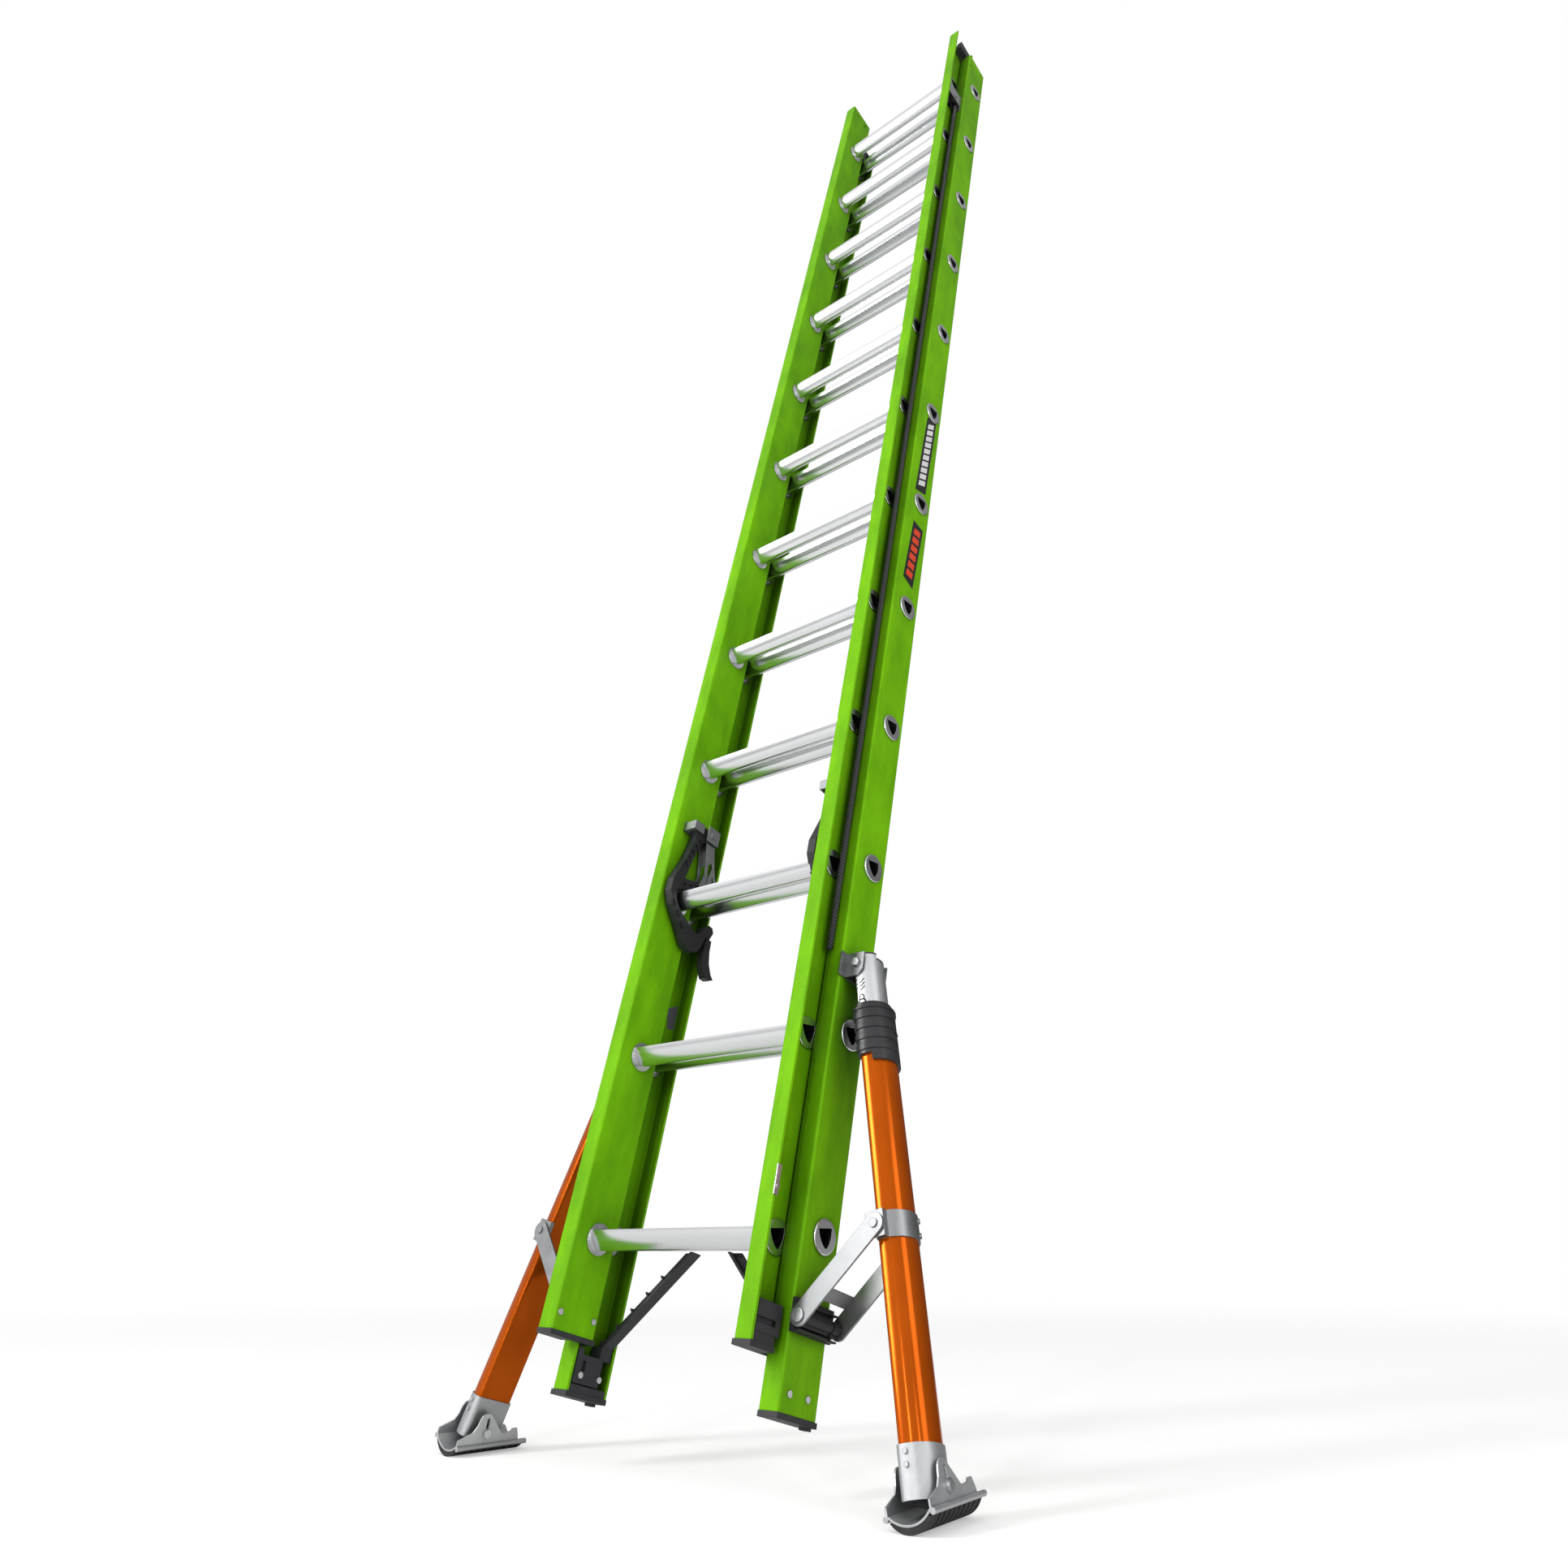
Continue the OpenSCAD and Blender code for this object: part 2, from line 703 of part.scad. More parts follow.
module swing_link() {
    color("silver") translate([link_foot[0], leg_y, link_foot[1]]) rotate([0, link_tilt, 0]) {
        difference() {
            union() {
                for (y = [-arm_in - link_t, arm_in]) {
                    rod_y(y, y + link_t, 0, 0, link_w / 2);
                    rod_y(y, y + link_t, 0, link_len, link_w / 2);
                    block([-link_w / 2, y, 0], [link_w / 2, y + link_t, link_len]);
                }
                block([-link_w / 2, -arm_in - 1, 26], [-link_w / 2 + 3, arm_in + 1, 46]);
            }
            rod_y(-leg_w, leg_w, 0, 0, bolt_r + pin_gap);
        }
        for (m = [0, 1]) mirror([0, m, 0])
            rod_y(arm_in + link_t - eps, arm_in + link_t + 2.4, 0, link_len, 6);
    }
}

// ---------- shoes ----------

function ear_points() = concat(
    [[-shoe_front, -18], [-shoe_front + 1, -7], [-shoe_front + 12, -3], [-25, 2], [-18, 11], [-15, 20]],
    arc([-3, 17], 12, 165, 35, 8),
    [[30, -3], [46, -2], [50, 2], [58, 2], [62, -8], [64, -18]]);

module shoe() {
    back = shoe_h - 8;
    color("silver") shoe_frame() difference() {
        union() {
            intersection() {
                difference() {
                    rod_y(-shoe_front, shoe_back, 0, sheet_r - back, sheet_r);
                    rod_y(-shoe_front - 1, shoe_back + 1, 0, sheet_r - back, sheet_r - shoe_t);
                }
                block([-ear_w - 1, -shoe_front, -back - 5], [ear_w + 1, shoe_back, -16]);
            }
            for (s = [-1, 1]) rod_y(-shoe_front, shoe_back, s * (ear_w + 2), -18.5, lip_r);
            for (x = [-ear_w - 1, ear_w + 1 - shoe_t]) plate_yz(x, x + shoe_t) polygon(ear_points());
        }
        rod_x(-ear_w - 9, ear_w + 9, 0, 0, bolt_r);
        for (z = [9, 19]) rod_x(-ear_w - 9, ear_w + 9, 0, z, 2.6);
        block([-ear_w - 9, -2.6, 9], [ear_w + 9, 2.6, 19]);
    }
}

// Ribbed rubber sole under the shoe
module shoe_tread() {
    back = shoe_h - 8;
    len = shoe_back + shoe_front;
    pitch = (len - 20) / tread_ribs;
    color("dimgray") shoe_frame() difference() {
        intersection() {
            rod_y(-shoe_front + 1, shoe_back - 2, 0, sole_r - shoe_h, sole_r);
            block([-ear_w - 4, -shoe_front, -shoe_h], [ear_w + 4, shoe_back, -22.4]);
        }
        rod_y(-shoe_front - 1, shoe_back + 1, 0, sheet_r - back, sheet_r);
        for (i = [0:tread_ribs - 1])
            difference() {
                block([-sole_r - 2, 21 - shoe_front + i * pitch, -shoe_h - 2],
                      [sole_r + 2, 24 - shoe_front + i * pitch, -18]);
                rod_y(-shoe_front - 1, shoe_back + 1, 0, sole_r - shoe_h, sole_r - 3);
            }
    }
}

module shoe_bolt() {
    color("silver") shoe_frame() union() {
        rod_x(-ear_w - 6, ear_w + 6, 0, 0, bolt_r);
        rod_x(ear_w + 1, ear_w + 4, 0, 0, 8);
        translate([-ear_w - 6, 0, 0]) rotate([0, 90, 0]) cylinder(h = 5, r = 7, $fn = 6);
        rod_x(ear_w + 1, ear_w + 6, 0, 0, 6);
    }
}

// ---------- rung locks ----------

// Points given from the base rung that the lock rests on
function from_rung(points) = [for (p = points) [p[0], p[1] + lock_base_z]];

// Bow of the lock, drawn from its front edge round to its rear edge
function lock_points() = from_rung([
    [-58, 152], [-68, 142], [-73, 110], [-82, 70], [-102, 14],
    [-102, -12], [-90, -36], [-56, -74], [-38, -96],
    [-22, -102], [-6, -96], [2, -84], [10, -58], [22, -54], [27, -42], [22, -33], [12, -32], [4, -40],
    [-6, -58], [-16, -62], [-40, -54], [-62, -42], [-80, -28], [-88, -8], [-84, 1], [-28, 22],
    [-20, 30], [-26, 38], [-74, 26], [-66, 70], [-52, 118], [-40, 126], [-28, 132], [-25, 140],
    [-28, 149], [-38, 152]
]);

module lock_body() {
    pin = lock_pin;
    color("dimgray") difference() {
        plate_yz(lock_x0, lock_x1) polygon(lock_points());
        rod_x(lock_x0 - 1, lock_x1 + 1, pin[0], pin[1], bolt_r + pin_gap);
        rod_x(lock_x0 - 1, lock_x1 + 1, tongue_pin[0], tongue_pin[1], 3 + pin_gap);
        block([lock_x0 + 5, 0, tongue_pin[1] - 16], [lock_x1 - 5, 60, tongue_pin[1] + 10.5]);
        for (i = [0:4])
            translate([lock_x0 - 1, -78 + i * 5.2, lock_base_z + 50 + i * 15]) rotate([14, 0, 0])
                block([0, -3.5, 0], [4, 3.5, 11]);
        for (i = [0:2])
            translate([lock_x0 - 1, -84 + i * 15, lock_base_z - 38 - i * 16.5]) rotate([42, 0, 0])
                block([0, -5, 0], [4, 5, 13]);
        for (i = [0:2])
            translate([lock_x0 - 1, -76 + i * 15, lock_base_z + 12 + i * 4.2]) rotate([16, 0, 0])
                block([0, 0, -4], [4, 10, 4]);
    }
}

// Steel hook plates beside the bow that rest on the base rung
module lock_hook() {
    gap = 0.6;
    slot_gap = 1;
    plate = 2;
    swing = 20;
    color("silver") difference() {
        union() {
            for (x = [lock_x0 - plate - gap, lock_x1 + gap])
                plate_yz(x, x + plate)
                    polygon(from_rung([[-46, 138], [-42, 148], [-30, 148], [-24, 138], [-8, 80],
                                       [12, 30], [12, 6],
                                       [-20, 8], [-38, 30], [-30, 54], [-36, 90]]));
            block([lock_x0 - plate - gap, -14, lock_base_z + 30],
                  [lock_x1 + gap + plate, -9, lock_base_z + 58]);
        }
        translate([0, lock_pin[0], lock_pin[1]])
            for (a = [0:swing / 8:swing])
                rotate([a, 0, 0]) translate([0, -lock_pin[0], -lock_pin[1]])
                    rung_at(base_rung_y, lock_base_z) rung_bar(0, base_x, -slot_gap);
        rod_x(lock_x0 - 9, lock_x1 + 9, lock_pin[0], lock_pin[1], bolt_r + pin_gap);
        plate_yz(lock_x0 - 9, lock_x1 + 9) polygon(from_rung([[-22, 38], [-14, 80], [-18, 90], [-26, 80]]));
        plate_yz(lock_x0 - 9, lock_x1 + 9) polygon(from_rung([[-4, 30], [4, 30], [-6, 62], [-10, 58]]));
    }
}

// Tongue that hangs from the foot of the bow and closes the lock's mouth
module lock_tongue() {
    y = tongue_pin[0];
    z = tongue_pin[1];
    color("dimgray") difference() {
        union() {
            rod_x(lock_x0 + 5.5, lock_x1 - 5.5, y, z, 7);
            plate_yz(lock_x0 + 5.5, lock_x1 - 5.5)
                polygon([[y - 5, z + 4], [y + 7, z], [y + 9, z - 12], [y + 8, z - 18], [y, z - 18]]);
            plate_yz(lock_x0 + 1, lock_x1 - 1)
                polygon([[y - 4, z - 17.5], [y + 10, z - 17.5], [y + 11, z - 40], [y + 16, z - 62],
                         [y + 26, z - 80], [y + 34, z - 87], [y + 24, z - 92], [y + 12, z - 92],
                         [y + 1, z - 76], [y - 4, z - 52]]);
        }
        rod_x(lock_x0, lock_x1, y, z, 3 + pin_gap);
    }
    color("silver") rod_x(lock_x0, lock_x1, y, z, 3);
}

// Hat-shaped bracket on the fly web that holds the lock's pin
module lock_bracket() {
    x_out = fly_web_in;
    x_in = lock_x0 - 9;
    t = 2.5;
    p = lock_pin;
    front = p[0] - 52;
    color("silver") union() {
        block([x_out - 2, front, p[1] - 10], [x_out, p[0] + 16, p[1] + 12]);
        block([x_in, p[0] - 14, p[1] - 16], [x_in + t, p[0] + 18, p[1] + 15]);
        block([x_in, p[0] + 16, p[1] - 16], [x_out, p[0] + 18, p[1] + 15]);
        block([x_in, front, p[1] - 10], [x_out, front + 2, p[1] + 8]);
        block([x_in, front, p[1] - 10], [x_in + t, p[0] - 26, p[1] + 8]);
        rod_x(x_in - 3, x_out, p[0], p[1], bolt_r);
        rod_x(x_in - 4, x_in, p[0], p[1], 7);
    }
}

// ---------- pulley and rope ----------

module pulley_bracket() {
    x0 = rope_x - 9.5;
    x1 = fly_tip;
    y0 = fly_y0 + flange_t + 0.8;
    y1 = base_y0;
    z0 = sheave_z - 34;
    z1 = sheave_z + 42;
    color("gray") union() {
        block([x0, y1 - 2.5, z0], [x1, y1, z1]);
        block([x0, y0, sheave_z - 16], [x0 + 2, y1 - 2.5, sheave_z + 30]);
        block([x1 - 2, y0, sheave_z - 16], [x1, y1 - 2.5, sheave_z + 30]);
        rod_x(x0, x1 + 3, sheave_y, sheave_z, 5);
        rod_x(x1, x1 + 3, sheave_y, sheave_z, 7);
    }
}

module pulley_sheave() {
    w = rope_d + 5;
    groove = sheave_r - rope_r;
    color("dimgray") translate([rope_x - w / 2, sheave_y, sheave_z]) rotate([0, 90, 0]) difference() {
        union() {
            cylinder(h = 2, r = sheave_r + 1);
            cylinder(h = w, r = groove - 0.3);
            translate([0, 0, w - 2]) cylinder(h = 2, r = sheave_r + 1);
        }
        translate([0, 0, -1]) cylinder(h = w + 2, r = 5.08);
    }
}

module rope_clip() {
    y = lift_y;
    color("silver") union() {
        block([rope_x - 3, y - rope_r - 1, clip_z - 14], [rope_x + 3, y + rope_r + 1, clip_z + 14]);
        block([rope_x - 2, fly_y0 + flange_t, clip_z - 26],
              [fly_tip + 2, fly_y0 + flange_t + 2, clip_z + 14]);
        block([fly_tip, fly_y0 - 2, clip_z - 26], [fly_tip + 2, fly_y0 + flange_t + 2, clip_z + 16]);
        rod_x(fly_tip, fly_tip + 4, fly_y0 + 3, clip_z - 14, 3.5);
    }
}

// Points of a sweep, one ring round each point of a route in the Y and Z plane
function ring_angle(pts, i) =
    let (a = pts[max(i - 1, 0)], b = pts[min(i + 1, len(pts) - 1)])
    atan2(b[1] - a[1], b[0] - a[0]);
function ring(p, ang, r) =
    [for (k = [0:rope_sides - 1])
        let (t = 360 * k / rope_sides)
        [rope_x + r * cos(t), p[0] - r * sin(t) * sin(ang), p[1] + r * sin(t) * cos(ang)]];

module rope_tube(pts) {
    n = len(pts);
    points = [for (i = [0:n - 1]) each ring(pts[i], ring_angle(pts, i), rope_r)];
    walls = [for (i = [0:n - 2]) for (k = [0:rope_sides - 1])
        let (a = i * rope_sides + k, b = i * rope_sides + (k + 1) % rope_sides)
        [a, b, b + rope_sides, a + rope_sides]];
    ends = [[for (k = [rope_sides - 1:-1:0]) k], [for (k = [0:rope_sides - 1]) (n - 1) * rope_sides + k]];
    polyhedron(points, concat(walls, ends), convexity = 10);
}

tail_points = concat(
    [for (z = [tail_end:100:sheave_z - 60]) [tail_y, z]],
    arc([sheave_y, sheave_z], sheave_r, 0, 180, 16),
    [[lift_y, sheave_z - rope_lead / 2], [lift_y, sheave_z - rope_lead]]);

module rope_tail() {
    color("dimgray") leaned() rope_tube(tail_points);
}

module rope_lift() {
    color("dimgray") leaned() translate([rope_x, lift_y, clip_z + 14])
        cylinder(h = sheave_z - rope_lead - 0.3 - clip_z - 14, r = rope_r, $fn = 32);
}

// ---------- nodes ----------

left() base_rail();  // base_rail_left
right() base_rail();  // base_rail_right
left() fly_rail();  // fly_rail_left
right() fly_rail();  // fly_rail_right
base_rungs(0);  // base_rungs_lower
base_rungs(group);  // base_rungs_middle
base_rungs(2 * group);  // base_rungs_upper
fly_rungs(0);  // fly_rungs_lower
fly_rungs(group);  // fly_rungs_middle
fly_rungs(2 * group);  // fly_rungs_upper
left() base_end_cap();  // base_end_cap_left
right() base_end_cap();  // base_end_cap_right
left() fly_end_cap();  // fly_end_cap_left
right() fly_end_cap();  // fly_end_cap_right
left() foot_brace();  // foot_brace_left
right() foot_brace();  // foot_brace_right
left() fly_guide();  // fly_guide_left
right() fly_guide();  // fly_guide_right
left() top_guide();  // top_guide_left
right() top_guide();  // top_guide_right
left() leg_bracket();  // leg_bracket_left
right() leg_bracket();  // leg_bracket_right
left() link_bracket();  // link_bracket_left
right() link_bracket();  // link_bracket_right
left() lock_bracket();  // lock_bracket_left
right() lock_bracket();  // lock_bracket_right
left() lock_body();  // lock_body_left
right() lock_body();  // lock_body_right
left() lock_hook();  // lock_hook_left
right() lock_hook();  // lock_hook_right
left() lock_tongue();  // lock_tongue_left
right() lock_tongue();  // lock_tongue_right
left() inner_leg();  // inner_leg_left
right() inner_leg();  // inner_leg_right
left() leg_plug();  // leg_plug_left
right() leg_plug();  // leg_plug_right
left() outer_leg();  // outer_leg_left
right() outer_leg();  // outer_leg_right
left() leg_sleeve();  // leg_sleeve_left
right() leg_sleeve();  // leg_sleeve_right
left() leg_collar();  // leg_collar_left
right() leg_collar();  // leg_collar_right
left() leg_socket();  // leg_socket_left
right() leg_socket();  // leg_socket_right
left() swing_link();  // swing_link_left
right() swing_link();  // swing_link_right
left() shoe();  // shoe_left
right() shoe();  // shoe_right
left() shoe_tread();  // shoe_tread_left
right() shoe_tread();  // shoe_tread_right
left() shoe_bolt();  // shoe_bolt_left
right() shoe_bolt();  // shoe_bolt_right
union() {  // base_bolts
    right() color("silver") base_bolt_pair();
    left() color("silver") base_bolt_pair();
}
union() {  // base_rivets
    right() color("silver") base_rivet_pair();
    left() color("silver") base_rivet_pair();
}
union() {  // fly_rivets
    right() color("silver") fly_rivet_pair();
    left() color("silver") fly_rivet_pair();
}
right() pulley_bracket();
right() pulley_sheave();
right() rope_clip();
rope_lift();
rope_tail();
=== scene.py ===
import json
import math

import bpy
import bmesh
from mathutils import Matrix, Vector


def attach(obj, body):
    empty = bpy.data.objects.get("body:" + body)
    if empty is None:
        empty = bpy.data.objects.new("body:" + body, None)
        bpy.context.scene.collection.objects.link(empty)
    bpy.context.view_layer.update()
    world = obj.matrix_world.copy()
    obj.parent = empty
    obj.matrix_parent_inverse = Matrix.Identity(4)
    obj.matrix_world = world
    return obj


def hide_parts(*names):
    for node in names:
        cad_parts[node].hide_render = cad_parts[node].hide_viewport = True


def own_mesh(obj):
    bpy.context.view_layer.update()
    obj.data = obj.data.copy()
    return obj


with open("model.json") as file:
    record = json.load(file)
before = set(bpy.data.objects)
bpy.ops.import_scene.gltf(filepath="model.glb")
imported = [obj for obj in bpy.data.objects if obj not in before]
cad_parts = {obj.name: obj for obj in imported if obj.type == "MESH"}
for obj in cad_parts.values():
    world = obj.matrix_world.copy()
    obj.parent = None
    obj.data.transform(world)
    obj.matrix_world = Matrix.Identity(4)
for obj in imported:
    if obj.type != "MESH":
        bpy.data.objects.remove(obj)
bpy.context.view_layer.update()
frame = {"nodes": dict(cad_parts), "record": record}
nodes = frame["nodes"]
slotOf = {part["node"]: part["material_slot"] for part in frame["record"]["subparts"]}
print("frame loaded:", len(nodes), "nodes")

# camera

cameraLook = {
    "place": (1.2814, -1.3028, 0.2948),
    "heading": 39.262,  # degrees, turned left from +Y
    "pitch": 22.486,
    "roll": -0.137,
    "lens": 26.04,
    "sensor": 36.0,
}


def makeCamera(look):
    data = bpy.data.cameras.new("camera")
    data.lens = look["lens"]
    data.sensor_width = look["sensor"]
    data.clip_start = 0.05
    data.clip_end = 200
    camera = bpy.data.objects.new("camera", data)
    bpy.context.scene.collection.objects.link(camera)
    turn = Matrix.Rotation(math.radians(look["heading"]), 4, "Z")
    tip = Matrix.Rotation(math.radians(90 + look["pitch"]), 4, "X")
    roll = Matrix.Rotation(math.radians(look["roll"]), 4, "Z")
    camera.matrix_world = Matrix.Translation(look["place"]) @ turn @ tip @ roll
    bpy.context.scene.camera = camera


makeCamera(cameraLook)
print("camera placed")

# the ladder's own frame, in metres: X along the rungs, Y back, Z up the rails

stance = {"lean": 14.5, "back": 0.078, "up": 0.3167}
leaned = Matrix.Translation((0, stance["back"], stance["up"])) @ Matrix.Rotation(
    -math.radians(stance["lean"]), 4, "X"
)


def onLadder(x, y, z):
    return leaned @ Vector((x, y, z))


def addObject(name, data):
    piece = bpy.data.objects.new(name, data)
    bpy.context.scene.collection.objects.link(piece)
    return piece


# halyard: the tail hangs from the pulley, and the lift strand is carried by the fly section

ropeRoute = {
    "x": 0.200,
    "tailY": -0.053,
    "liftY": -0.09805,
    "sheaveZ": 3.2128,
    "tailEnd": 0.434,
    "step": 0.1,
    "clipTop": 0.068,
    "lead": 0.0103,  # the lift strand starts this far under the sheave's axle
    "diameter": 0.0095,
    "travel": 2.7432,
    "turnSteps": 24,
}


def tube(name, points, radius, sides=20):
    # a closed tube round a run of points, mapped by turns and by lengths for the weave
    mesh = bpy.data.meshes.new(name)
    work = bmesh.new()
    weave = work.loops.layers.uv.new("weave")
    rings = []
    lengths = [0.0]
    for a, b in zip(points, points[1:]):
        lengths.append(lengths[-1] + (b - a).length)
    across = Vector((1, 0, 0))
    for i, point in enumerate(points):
        ahead = (points[min(i + 1, len(points) - 1)] - points[max(i - 1, 0)]).normalized()
        side = ahead.cross(across).normalized()
        turns = [math.tau * k / sides for k in range(sides)]
        spokes = [radius * (math.cos(turn) * across + math.sin(turn) * side) for turn in turns]
        rings.append([work.verts.new(point + spoke) for spoke in spokes])
    for i in range(len(points) - 1):
        for k in range(sides):
            j = (k + 1) % sides
            face = work.faces.new((rings[i][k], rings[i][j], rings[i + 1][j], rings[i + 1][k]))
            face.smooth = True
            spots = [(k, i), (k + 1, i), (k + 1, i + 1), (k, i + 1)]
            for loop, (turn, row) in zip(face.loops, spots):
                loop[weave].uv = (turn / sides, lengths[row] / (math.tau * radius))
    work.faces.new(list(reversed(rings[0])))
    work.faces.new(rings[-1])
    bmesh.ops.recalc_face_normals(work, faces=work.faces)
    work.to_mesh(mesh)
    work.free()
    return addObject(name, mesh)


def makeHalyard(route):
    radius = route["diameter"] / 2
    middleY = (route["tailY"] + route["liftY"]) / 2
    reach = (route["tailY"] - route["liftY"]) / 2
    fall = route["sheaveZ"] - route["tailEnd"]
    count = round(fall / route["step"])
    drops = [route["sheaveZ"] - fall * i / count for i in range(count + 1)]
    path = [onLadder(route["x"], route["tailY"], z) for z in drops]
    tail = tube("halyard_tail", path, radius)
    over = []
    for i in range(route["turnSteps"] + 1):
        turn = math.pi * i / route["turnSteps"]
        y = middleY + reach * math.cos(turn)
        over.append(onLadder(route["x"], y, route["sheaveZ"] + reach * math.sin(turn)))
    over.append(onLadder(route["x"], route["liftY"], route["sheaveZ"] - route["lead"]))
    bend = tube("halyard_turn", over, radius)
    ends = (route["clipTop"], route["sheaveZ"] - route["lead"])
    strand = tube("halyard_lift", [onLadder(route["x"], route["liftY"], z) for z in ends], radius)
    for piece in (tail, bend):
        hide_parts("rope_tail")
        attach(piece, "base")
    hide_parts("rope_lift")
    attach(strand, "fly")
    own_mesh(strand)
    return [tail, bend, strand]


halyard = makeHalyard(ropeRoute)
print("halyard laid:", len(halyard), "pieces")

# materials


class Graph:  # one material's nodes, wired from short calls
    def __init__(self, name):
        self.material = bpy.data.materials.new(name)
        self.material.use_nodes = True
        self.tree = self.material.node_tree
        self.shader = self.tree.nodes["Principled BSDF"]
        self.coords = self.tree.nodes.new("ShaderNodeTexCoord")

    def add(self, kind, **inputs):
        node = self.tree.nodes.new(kind)
        for key, value in inputs.items():
            if key in node.inputs:
                self.feed(node.inputs[key], value)
            else:
                setattr(node, key, value)
        return node

    def feed(self, socket, value):
        if isinstance(value, bpy.types.NodeSocket):
            self.tree.links.new(value, socket)
        else:
            socket.default_value = value

    def place(self, scale, lean=0.0):
        turned = self.add("ShaderNodeMapping", Rotation=(math.radians(lean), 0, 0))
        self.feed(turned.inputs["Vector"], self.coords.outputs["Object"])
        sized = self.add("ShaderNodeMapping", Scale=scale)
        self.feed(sized.inputs["Vector"], turned.outputs["Vector"])
        return sized.outputs["Vector"]

    def noise(self, scale, detail=3.0, roughness=0.55, lean=0.0):
        texture = self.add("ShaderNodeTexNoise", Scale=1.0, Detail=detail, Roughness=roughness)
        self.feed(texture.inputs["Vector"], self.place(scale, lean))
        return texture.outputs["Fac"]

    def cells(self, scale):
        texture = self.add("ShaderNodeTexVoronoi", Scale=1.0)
        self.feed(texture.inputs["Vector"], self.place(scale))
        return texture.outputs["Color"]

    def ramp(self, value, stops):
        node = self.add("ShaderNodeValToRGB")
        self.feed(node.inputs["Fac"], value)
        band = node.color_ramp
        while len(band.elements) < len(stops):
            band.elements.new(0.5)
        for element, (at, colour) in zip(band.elements, stops):
            element.position = at
            element.color = (*colour, 1.0)
        return node.outputs["Color"]

    def spread(self, value, low, high):
        # stretches the middle of a noise over a range
        node = self.add("ShaderNodeMapRange")
        self.feed(node.inputs["Value"], value)
        node.inputs["From Min"].default_value = 0.3
        node.inputs["From Max"].default_value = 0.7
        node.inputs["To Min"].default_value = low
        node.inputs["To Max"].default_value = high
        return node.outputs["Result"]

    def multiply(self, a, b, amount):
        node = self.add("ShaderNodeMix", data_type="RGBA", blend_type="MULTIPLY")
        node.inputs["Factor"].default_value = amount
        self.feed(node.inputs["A"], a)
        self.feed(node.inputs["B"], b)
        return node.outputs["Result"]

    def bump(self, height, distance, strength=1.0, normal=None):
        node = self.add("ShaderNodeBump", Distance=distance, Strength=strength)
        self.feed(node.inputs["Height"], height)
        if normal is not None:
            self.feed(node.inputs["Normal"], normal)
        return node.outputs["Normal"]

    def edges(self, radius=0.0007):
        return self.add("ShaderNodeBevel", samples=6, Radius=radius).outputs["Normal"]

    def paintedHollowShade(self, colour, reach, shade, deepest=0.1, openest=0.85):
        # painted shade: darkens the colour of what lies deep between other surfaces, where shadow falls
        openness = self.add("ShaderNodeAmbientOcclusion", samples=6, Distance=reach).outputs["AO"]
        node = self.add("ShaderNodeMapRange")
        self.feed(node.inputs["Value"], openness)
        self.feed(node.inputs["From Min"], deepest)
        self.feed(node.inputs["From Max"], openest)
        self.feed(node.inputs["To Min"], shade)
        grey = self.add("ShaderNodeCombineColor")
        for channel in ("Red", "Green", "Blue"):
            self.feed(grey.inputs[channel], node.outputs["Result"])
        return self.multiply(colour, grey.outputs["Color"], 1.0)

    def finish(self, **sockets):
        for key, value in sockets.items():
            self.feed(self.shader.inputs[key.replace("_", " ")], value)
        return self.material


def limeFibreglass():
    look = {
        "deep": (0.126, 0.372, 0.0006),
        "bright": (0.188, 0.520, 0.0009),
        "gloss": (0.50, 0.62),
        "depth": (0.12, 0.16),  # reach and strength of the shade painted where surfaces lie deep between others
    }
    g = Graph("limeFibreglass")
    clouds = g.noise((16, 16, 7), 5.0, 0.6, stance["lean"])
    strands = g.noise((420, 420, 9), 4.0, 0.6, stance["lean"])
    specks = g.noise((260, 260, 260), 2.0, 0.5)
    colour = g.ramp(clouds, [(0.34, look["deep"]), (0.62, look["bright"])])
    colour = g.multiply(colour, g.ramp(strands, [(0.35, (0.82, 0.86, 0.7)), (0.6, (1, 1, 1))]), 0.5)
    colour = g.multiply(colour, g.ramp(specks, [(0.28, (0.7, 0.78, 0.6)), (0.42, (1, 1, 1))]), 0.45)
    weave = g.bump(strands, 0.0004, 0.3, g.edges(0.0012))
    return g.finish(
        # the base colour carries painted shade in its recesses
        Base_Color=g.paintedHollowShade(colour, *look["depth"]),
        Roughness=g.spread(clouds, *look["gloss"]),
        Normal=g.bump(specks, 0.0003, 0.2, weave),
        Specular_IOR_Level=0.12,
    )


def drawnAluminium(name, tint, gloss, along):
    g = Graph(name)
    lines = g.noise(along, 4.0, 0.6)
    stains = g.noise((6, 6, 6), 3.0, 0.5)
    colour = g.ramp(stains, [(0.3, tuple(0.95 * c for c in tint)), (0.7, tint)])
    colour = g.multiply(colour, g.ramp(lines, [(0.3, (0.9,) * 3), (0.6, (1, 1, 1))]), 0.4)
    return g.finish(
        # the base colour carries painted shade where parts sit close together
        Base_Color=g.paintedHollowShade(colour, 0.03, 0.35),
        Metallic=1.0,
        Roughness=g.spread(lines, *gloss),
        Normal=g.bump(lines, 0.0001, 0.03, g.edges(0.0005)),
    )


def zincSheet(name, tint, gloss):
    g = Graph(name)
    spangle = g.cells((160, 160, 160))
    grain = g.noise((700, 700, 700), 3.0, 0.6)
    stains = g.noise((25, 25, 25), 4.0, 0.6)
    colour = g.ramp(stains, [(0.3, tuple(0.86 * c for c in tint)), (0.7, tint)])
    colour = g.multiply(colour, g.ramp(spangle, [(0.0, (0.88, 0.89, 0.91)), (1.0, (1, 1, 1))]), 0.6)
    return g.finish(
        # the base colour carries painted shade where parts sit close together
        Base_Color=g.paintedHollowShade(colour, 0.03, 0.4),
        Metallic=0.9,
        Roughness=g.spread(stains, *gloss),
        Normal=g.bump(grain, 0.0002, 0.3, g.edges()),
    )


